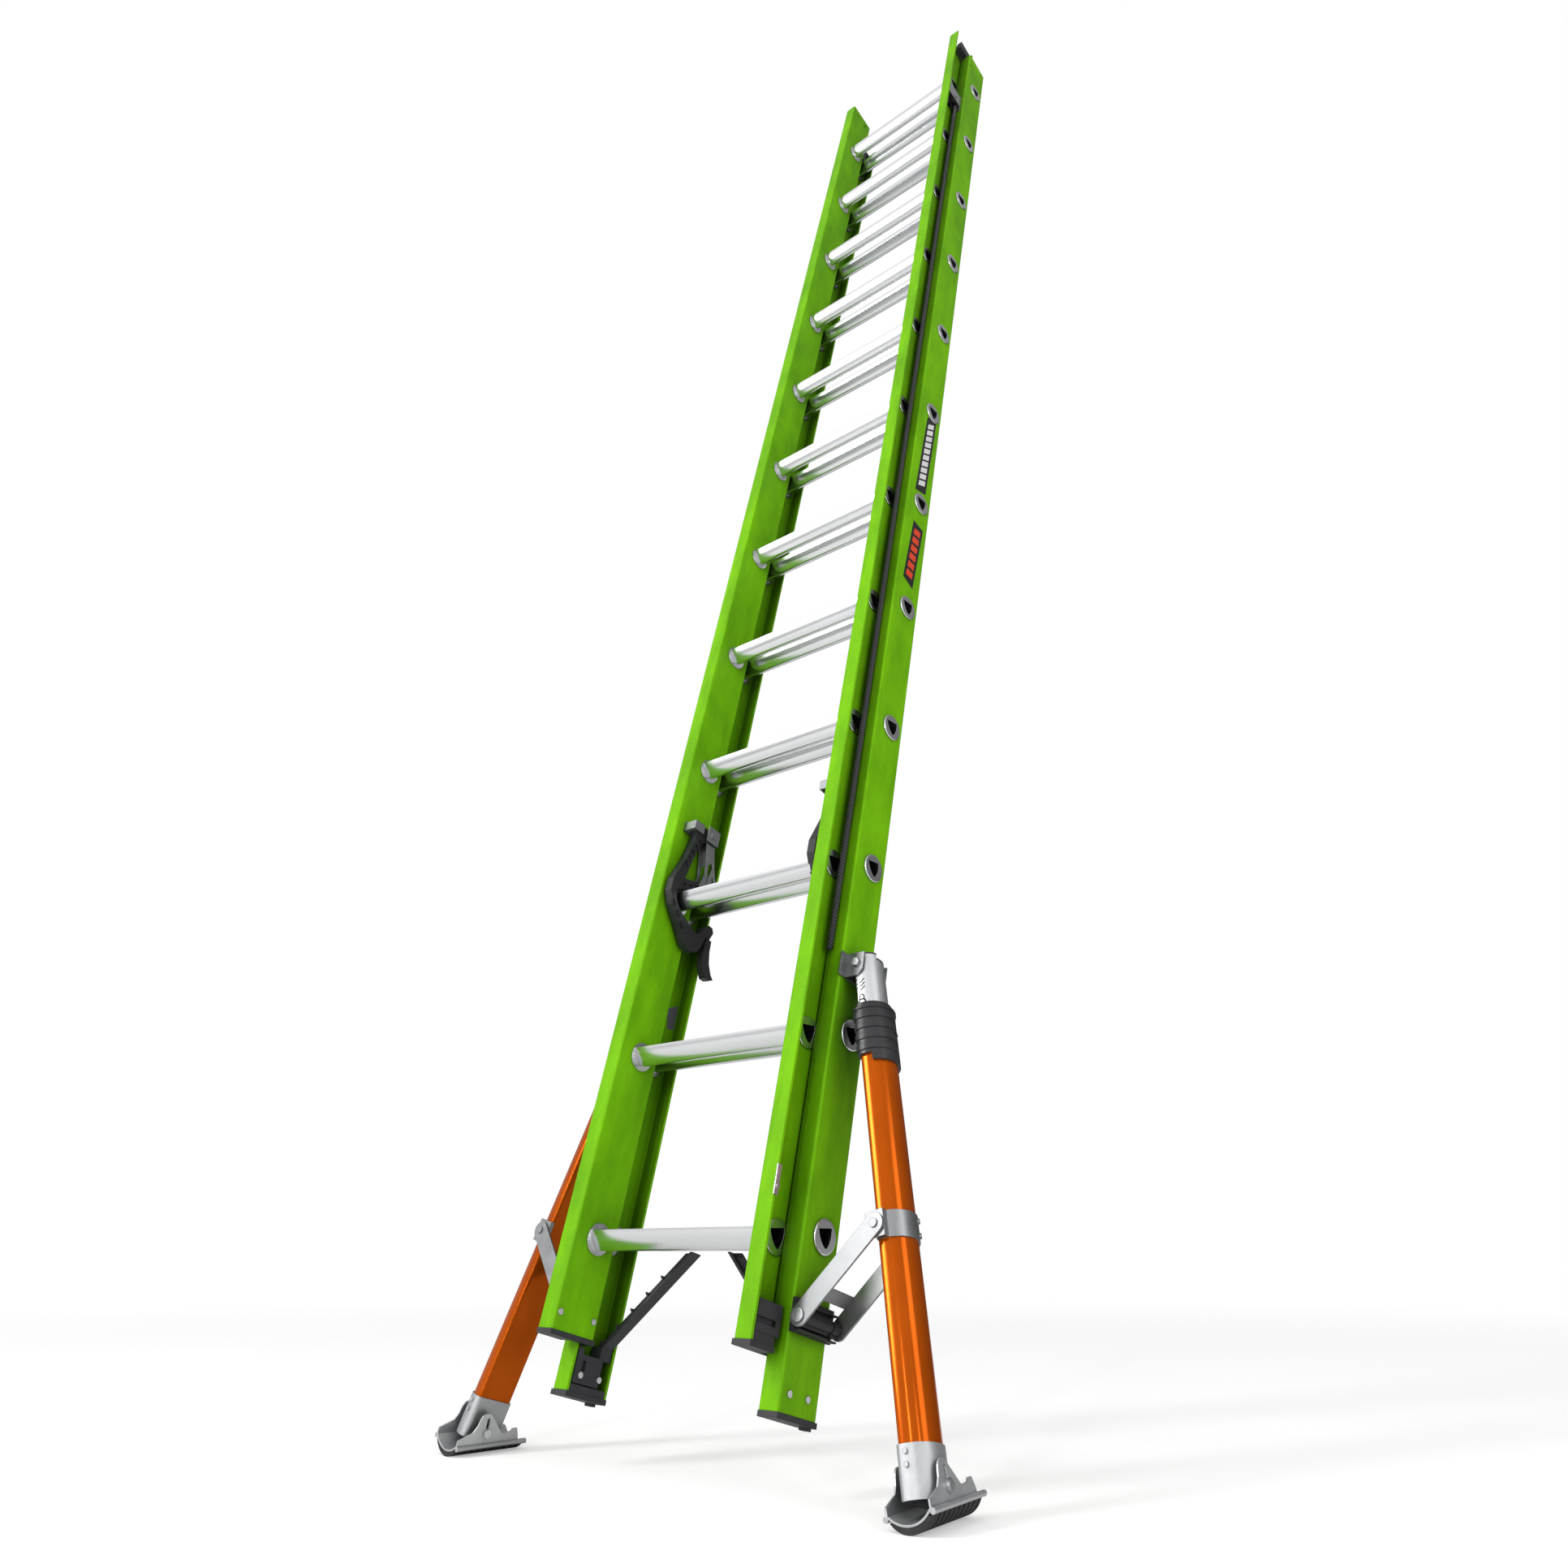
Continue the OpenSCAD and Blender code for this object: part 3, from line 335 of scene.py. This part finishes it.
def mouldedPlastic(name, tint, gloss):
    g = Graph(name)
    grain = g.noise((900, 900, 900), 2.0, 0.5)
    dust = g.noise((30, 30, 30), 4.0, 0.6)
    return g.finish(
        Base_Color=g.ramp(dust, [(0.35, tint), (0.75, tuple(1.35 * c + 0.004 for c in tint))]),
        Roughness=g.spread(dust, *gloss),
        Normal=g.bump(grain, 0.00025, 0.4, g.edges()),
        Specular_IOR_Level=0.4,
    )


def orangeCoat():
    look = {"dark": (0.44, 0.074, 0.002), "light": (0.53, 0.094, 0.003)}
    g = Graph("orangeCoat")
    clouds = g.noise((18, 18, 4), 3.0, 0.5)
    peel = g.noise((420, 420, 420), 2.0, 0.5)
    return g.finish(
        Base_Color=g.ramp(clouds, [(0.3, look["dark"]), (0.7, look["light"])]),
        Metallic=0.5,
        Roughness=g.spread(clouds, 0.13, 0.17),
        Normal=g.bump(peel, 0.0002, 0.08),
        Specular_IOR_Level=0.08,
    )


def ribbedRubber():
    g = Graph("ribbedRubber")
    grain = g.noise((500, 500, 500), 3.0, 0.6)
    dust = g.noise((45, 45, 45), 5.0, 0.6)
    return g.finish(
        Base_Color=g.ramp(dust, [(0.4, (0.012, 0.012, 0.013)), (0.8, (0.035, 0.034, 0.033))]),
        Roughness=g.spread(dust, 0.5, 0.7),
        Normal=g.bump(grain, 0.0004, 0.5),
    )


def braidedRope():
    look = {"dark": (0.010, 0.010, 0.011), "light": (0.062, 0.062, 0.068), "plaits": 6, "wave": 0.3183}
    g = Graph("braidedRope")
    turns = g.add("ShaderNodeUVMap", uv_map="weave")
    bands = []
    for slant in (45, -45):
        placed = g.add("ShaderNodeMapping", Rotation=(0, 0, math.radians(slant)))
        g.feed(placed.inputs["Vector"], turns.outputs["UV"])
        wave = g.add("ShaderNodeTexWave", bands_direction="X", Scale=look["plaits"] * look["wave"])
        g.feed(wave.inputs["Vector"], placed.outputs["Vector"])
        bands.append(wave.outputs["Color"])
    plait = g.multiply(bands[0], bands[1], 1.0)
    fibres = g.noise((900, 900, 900), 3.0, 0.6)
    # painted shade: the grooves between the plaits are coloured darker than their crowns
    colour = g.ramp(plait, [(0.05, look["dark"]), (0.6, look["light"])])
    return g.finish(
        Base_Color=g.multiply(colour, g.ramp(fibres, [(0.3, (0.7,) * 3), (0.6, (1, 1, 1))]), 0.7),
        Roughness=0.75,
        Normal=g.bump(plait, 0.0009, 0.8, g.bump(fibres, 0.0002, 0.4)),
        Sheen_Weight=0.15,
    )


def flatPrint(name, tint, gloss):
    g = Graph(name)
    grain = g.noise((800, 800, 800), 2.0, 0.5)
    return g.finish(
        Base_Color=g.ramp(grain, [(0.3, tuple(0.85 * c for c in tint)), (0.7, tint)]),
        Roughness=gloss,
        Normal=g.bump(grain, 0.0001, 0.2),
    )


blackPlastic = mouldedPlastic("blackPlastic", (0.018, 0.018, 0.020), (0.42, 0.55))
finishes = {
    "fibreglass": limeFibreglass(),
    "rung_aluminium": drawnAluminium("rungAluminium", (0.84, 0.85, 0.86), (0.18, 0.26), (3, 500, 500)),
    "inner_leg_aluminium": drawnAluminium("legAluminium", (0.85, 0.86, 0.88), (0.30, 0.40), (500, 500, 4)),
    "rail_plastic": mouldedPlastic("railPlastic", (0.026, 0.026, 0.030), (0.45, 0.6)),
    "bracket_plastic": blackPlastic,
    "lock_plastic": mouldedPlastic("lockPlastic", (0.016, 0.016, 0.018), (0.38, 0.5)),
    "plug_plastic": blackPlastic,
    "sleeve_plastic": mouldedPlastic("sleevePlastic", (0.022, 0.022, 0.024), (0.26, 0.34)),
    "sheave_plastic": blackPlastic,
    "bracket_steel": zincSheet("bracketSteel", (0.36, 0.365, 0.37), (0.34, 0.46)),
    "lock_steel": zincSheet("lockSteel", (0.46, 0.47, 0.48), (0.30, 0.42)),
    "socket_steel": zincSheet("socketSteel", (0.50, 0.51, 0.52), (0.40, 0.52)),
    "shoe_steel": zincSheet("shoeSteel", (0.66, 0.67, 0.68), (0.40, 0.52)),
    "bolt_steel": zincSheet("boltSteel", (0.74, 0.75, 0.76), (0.22, 0.3)),
    "rivet_steel": zincSheet("rivetSteel", (0.80, 0.80, 0.81), (0.22, 0.3)),
    "pulley_steel": zincSheet("pulleySteel", (0.50, 0.51, 0.52), (0.34, 0.46)),
    "clip_steel": zincSheet("clipSteel", (0.68, 0.69, 0.70), (0.3, 0.4)),
    "orange_paint": orangeCoat(),
    "tread_rubber": ribbedRubber(),
    "rope_fibre": braidedRope(),
}
for name, piece in nodes.items():
    piece.data.materials.clear()
    piece.data.materials.append(finishes[slotOf[name]])
for piece in halyard:
    piece.data.materials.append(finishes["rope_fibre"])
print("materials made:", len(finishes))

# labels and pictograms, each a thin raised print

webOut = 0.222  # the base web's two faces
webIn = 0.218
proud = 0.00025  # how far a label stands off its rail
labels = {
    "orange_bars_label": {
        "outline": [(-0.013, 1.461), (0.023, 1.459), (0.012, 1.280), (-0.023, 1.289)],
        "bars": 6,
        "ink": (0.80, 0.060, 0.012),
        "gap": 0.30,
    },
    "white_bars_label": {
        "outline": [(-0.013, 1.801), (0.022, 1.822), (0.015, 1.566), (-0.022, 1.551)],
        "bars": 10,
        "ink": (0.80, 0.80, 0.80),
        "gap": 0.26,
    },
}
labelBars = {"start": 0.07, "length": 0.86, "across": (0.2, 0.8), "slant": 0.25, "proud": 1.6}
greyLabel = {"outline": [(0.006, 0.413), (0.031, 0.428), (0.038, 0.383), (0.018, 0.377)]}


def prism(work, outline, place, low, high, index):
    bottom = [work.verts.new(place(u, v, low)) for u, v in outline]
    top = [work.verts.new(place(u, v, high)) for u, v in outline]
    faces = [work.faces.new(top), work.faces.new(list(reversed(bottom)))]
    for i in range(len(outline)):
        j = (i + 1) % len(outline)
        faces.append(work.faces.new((bottom[i], bottom[j], top[j], top[i])))
    for face in faces:
        face.material_index = index


def printed(name, shapes, place, inks, body):
    # shapes are outlines, each with its ink's number and how proud it stands
    mesh = bpy.data.meshes.new(name)
    work = bmesh.new()
    for outline, index, high in shapes:
        prism(work, outline, place, -0.0001, high, index)
    bmesh.ops.recalc_face_normals(work, faces=work.faces)
    work.to_mesh(mesh)
    work.free()
    for ink in inks:
        mesh.materials.append(ink)
    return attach(addObject(name, mesh), body)


def between(a, b, share):
    return tuple(p + (q - p) * share for p, q in zip(a, b))


def makeLabel(name, look):
    # a black patch with slanted bars down its length
    headLeft, headRight, footRight, footLeft = look["outline"]

    def at(across, down):
        return between(between(headLeft, footLeft, down), between(headRight, footRight, down), across)

    left, right = labelBars["across"]
    step = labelBars["length"] / look["bars"]
    shapes = [(look["outline"], 0, proud)]
    for i in range(look["bars"]):
        start = labelBars["start"] + i * step
        stop = start + step * (1 - look["gap"])
        slant = step * labelBars["slant"]
        bar = [at(left, start + slant), at(right, start), at(right, stop), at(left, stop + slant)]
        shapes.append((bar, 1, proud * labelBars["proud"]))
    title = name.title().replace("_", "")
    patch = flatPrint("black" + title, (0.008, 0.008, 0.008), 0.4)
    inks = [patch, flatPrint("ink" + title, look["ink"], 0.45)]
    return printed(name, shapes, lambda y, z, out: onLadder(webOut + out, y, z), inks, "base")


for name, look in labels.items():
    makeLabel(name, look)
printed(
    "grey_label",
    [(greyLabel["outline"], 0, proud)],
    lambda y, z, out: onLadder(-webIn + out, y, z),
    [flatPrint("greyLabelFilm", (0.105, 0.095, 0.125), 0.5)],
    "base",
)

legFrame = {"x": 0.3391, "y": -0.0026, "angle": 14.34, "flat": 0.0065, "radius": 0.02935}
marks = {
    "turn": -80,  # where the marks' middle is round the tube, in degrees
    "chevrons": {"tips": [0.3850, 0.3780, 0.3710], "half": 0.0062, "rise": 0.0060, "width": 0.0019},
    "ring": {"along": 0.3495, "radius": 0.0055, "width": 0.0026},
    "shackle": {"along": 0.3570, "half": 0.0036, "rise": 0.0065, "width": 0.0019, "foot": 0.004},
    "proud": 0.0002,
}


def onLeg(side, turn, along, out):
    # turn is in degrees round the half-round side of the tube
    reach = legFrame["radius"] + out
    x = legFrame["flat"] + reach * math.cos(math.radians(turn))
    y = reach * math.sin(math.radians(turn))
    lean = math.radians(legFrame["angle"])
    outward = legFrame["x"] + x * math.cos(lean) - along * math.sin(lean)
    return onLadder(side * outward, legFrame["y"] + y, x * math.sin(lean) + along * math.cos(lean))


def strokes(line, width):
    # short quads along a line of points, wide enough to meet at the bends
    quads = []
    for a, b in zip(line, line[1:]):
        run = Vector((b[0] - a[0], b[1] - a[1]))
        run.normalize()
        side = Vector((-run.y, run.x)) * (width / 2)
        start = Vector(a) - run * (width * 0.3)
        stop = Vector(b) + run * (width * 0.3)
        quads.append([tuple(start - side), tuple(stop - side), tuple(stop + side), tuple(start + side)])
    return quads


def arch(look, wide, high, start, stop, steps=16):
    # start and stop are in half turns
    turns = [math.pi * (start + (stop - start) * i / steps) for i in range(steps + 1)]
    return [(wide * math.cos(turn), look["along"] + high * math.sin(turn)) for turn in turns]


def makeMarks(sideName, side, look):
    # three chevrons that point down the leg at a padlock
    chevrons, ring, shackle = look["chevrons"], look["ring"], look["shackle"]
    half, rise = chevrons["half"], chevrons["rise"]
    lines = []
    for tip in chevrons["tips"]:
        lines.append(([(-half, tip + rise), (0, tip), (half, tip + rise)], chevrons["width"]))
    lines.append((arch(ring, ring["radius"], ring["radius"], 0, 2), ring["width"]))
    bow = arch(shackle, shackle["half"], shackle["rise"], 0, 1)
    foot = shackle["along"] - shackle["foot"]
    feet = [(shackle["half"], foot), (-shackle["half"], foot)]
    lines.append(([feet[0]] + bow + [feet[1]], shackle["width"]))
    shapes = []
    for line, width in lines:
        shapes += [(quad, 0, look["proud"]) for quad in strokes(line, width)]

    def place(u, v, out):
        turn = look["turn"] + math.degrees(u / legFrame["radius"])
        return onLeg(side, turn, v, out)

    ink = flatPrint("markInk" + sideName.title(), (0.012, 0.012, 0.012), 0.5)
    return printed("lock_marks_" + sideName, shapes, place, [ink], "inner_leg_" + sideName)


for sideName, side in (("left", -1), ("right", 1)):
    makeMarks(sideName, side, marks)
print("labels and marks made")

# floor, sky and lamps

stageLook = {
    "size": 120,
    "floor": 0.84,
    "floorGlow": 0.36,  # lifts the floor towards white for the viewer only
    "fadeFrom": 1.6,  # where the floor starts to turn into the backdrop
    "fadeTo": 7.0,
    "sky": 0.47,
    "skyTurn": 0.46,  # how much brighter the sky is towards the front
    "front": (-0.10, -0.94, 0.32),
    "backdrop": 1.0,
}
lamps = {
    "keyLamp": {"at": (-2.4, -4.6, 3.6), "aim": (0, 0.4, 1.6), "size": (1.0, 2.6), "power": 150},
    "sideLamp": {"at": (4.2, -0.4, 2.6), "aim": (0, 0.4, 1.4), "size": (1.6, 2.4), "power": 36},
    "stripLamp": {"at": (1.25, -4.1, 1.2), "aim": (0.3, 0, 0.6), "size": (0.12, 3.0), "power": 40},
    "edgeLamp": {"at": (3.5, -2.3, 1.2), "aim": (0.3, 0, 0.6), "size": (0.16, 2.6), "power": 20},
}


def makeFloor(look):
    bpy.ops.mesh.primitive_grid_add(x_subdivisions=2, y_subdivisions=2, size=look["size"])
    floor = bpy.context.active_object
    floor.location = (0, 0, 0)
    floor.name = "floor"
    g = Graph("paleFloor")
    mottle = g.noise((3, 3, 3), 4.0, 0.6)
    pale = look["floor"]
    seen = g.add("ShaderNodeLightPath")
    far = g.add("ShaderNodeVectorMath", operation="LENGTH")
    g.feed(far.inputs["Vector"], g.coords.outputs["Object"])
    fade = g.add("ShaderNodeMapRange", interpolation_type="SMOOTHSTEP")
    g.feed(fade.inputs["Value"], far.outputs["Value"])
    g.feed(fade.inputs["From Min"], look["fadeFrom"])
    g.feed(fade.inputs["From Max"], look["fadeTo"])
    glow = g.add("ShaderNodeMath", operation="MULTIPLY")
    g.feed(glow.inputs[0], seen.outputs["Is Camera Ray"])
    g.feed(glow.inputs[1], look["floorGlow"])
    g.finish(
        Base_Color=g.ramp(mottle, [(0.3, (0.985 * pale,) * 3), (0.7, (pale,) * 3)]),
        Roughness=0.9,
        Specular_IOR_Level=0.1,
        Emission_Color=(1, 1, 1, 1),
        Emission_Strength=glow.outputs["Value"],
    )
    backdrop = g.add("ShaderNodeEmission", Strength=look["backdrop"])
    faded = g.add("ShaderNodeMath", operation="MULTIPLY")
    g.feed(faded.inputs[0], seen.outputs["Is Camera Ray"])
    g.feed(faded.inputs[1], fade.outputs["Result"])
    choose = g.add("ShaderNodeMixShader")
    g.feed(choose.inputs["Fac"], faded.outputs["Value"])
    g.tree.links.new(g.shader.outputs["BSDF"], choose.inputs[1])
    g.tree.links.new(backdrop.outputs["Emission"], choose.inputs[2])
    g.tree.links.new(choose.outputs["Shader"], g.tree.nodes["Material Output"].inputs["Surface"])
    floor.data.materials.append(g.material)


def makeSky(look):
    world = bpy.data.worlds.new("studio")
    world.use_nodes = True
    bpy.context.scene.world = world
    tree = world.node_tree
    sky = tree.nodes["Background"]
    where = tree.nodes.new("ShaderNodeTexCoord")
    facing = tree.nodes.new("ShaderNodeVectorMath")
    facing.operation = "DOT_PRODUCT"
    facing.inputs[1].default_value = look["front"]
    tree.links.new(where.outputs["Generated"], facing.inputs[0])
    strength = tree.nodes.new("ShaderNodeMath")
    strength.operation = "MULTIPLY_ADD"
    strength.inputs[1].default_value = look["skyTurn"]
    strength.inputs[2].default_value = look["sky"]
    tree.links.new(facing.outputs["Value"], strength.inputs[0])
    tree.links.new(strength.outputs["Value"], sky.inputs["Strength"])
    sky.inputs["Color"].default_value = (1, 1, 1, 1)
    plain = tree.nodes.new("ShaderNodeBackground")
    plain.inputs["Strength"].default_value = look["backdrop"]
    plain.inputs["Color"].default_value = (1, 1, 1, 1)
    seen = tree.nodes.new("ShaderNodeLightPath")
    choose = tree.nodes.new("ShaderNodeMixShader")
    tree.links.new(seen.outputs["Is Camera Ray"], choose.inputs["Fac"])
    tree.links.new(sky.outputs["Background"], choose.inputs[1])
    tree.links.new(plain.outputs["Background"], choose.inputs[2])
    tree.links.new(choose.outputs["Shader"], tree.nodes["World Output"].inputs["Surface"])


def makeLamp(name, look):
    data = bpy.data.lights.new(name, "AREA")
    data.shape = "RECTANGLE"
    data.size, data.size_y = look["size"]
    data.energy = look["power"]
    lamp = addObject(name, data)
    lamp.location = look["at"]
    lamp.rotation_euler = (Vector(look["aim"]) - Vector(look["at"])).to_track_quat("-Z", "Y").to_euler()


makeFloor(stageLook)
makeSky(stageLook)
for name, look in lamps.items():
    makeLamp(name, look)
bpy.context.scene.view_settings.view_transform = "Standard"
print("stage and lamps set")
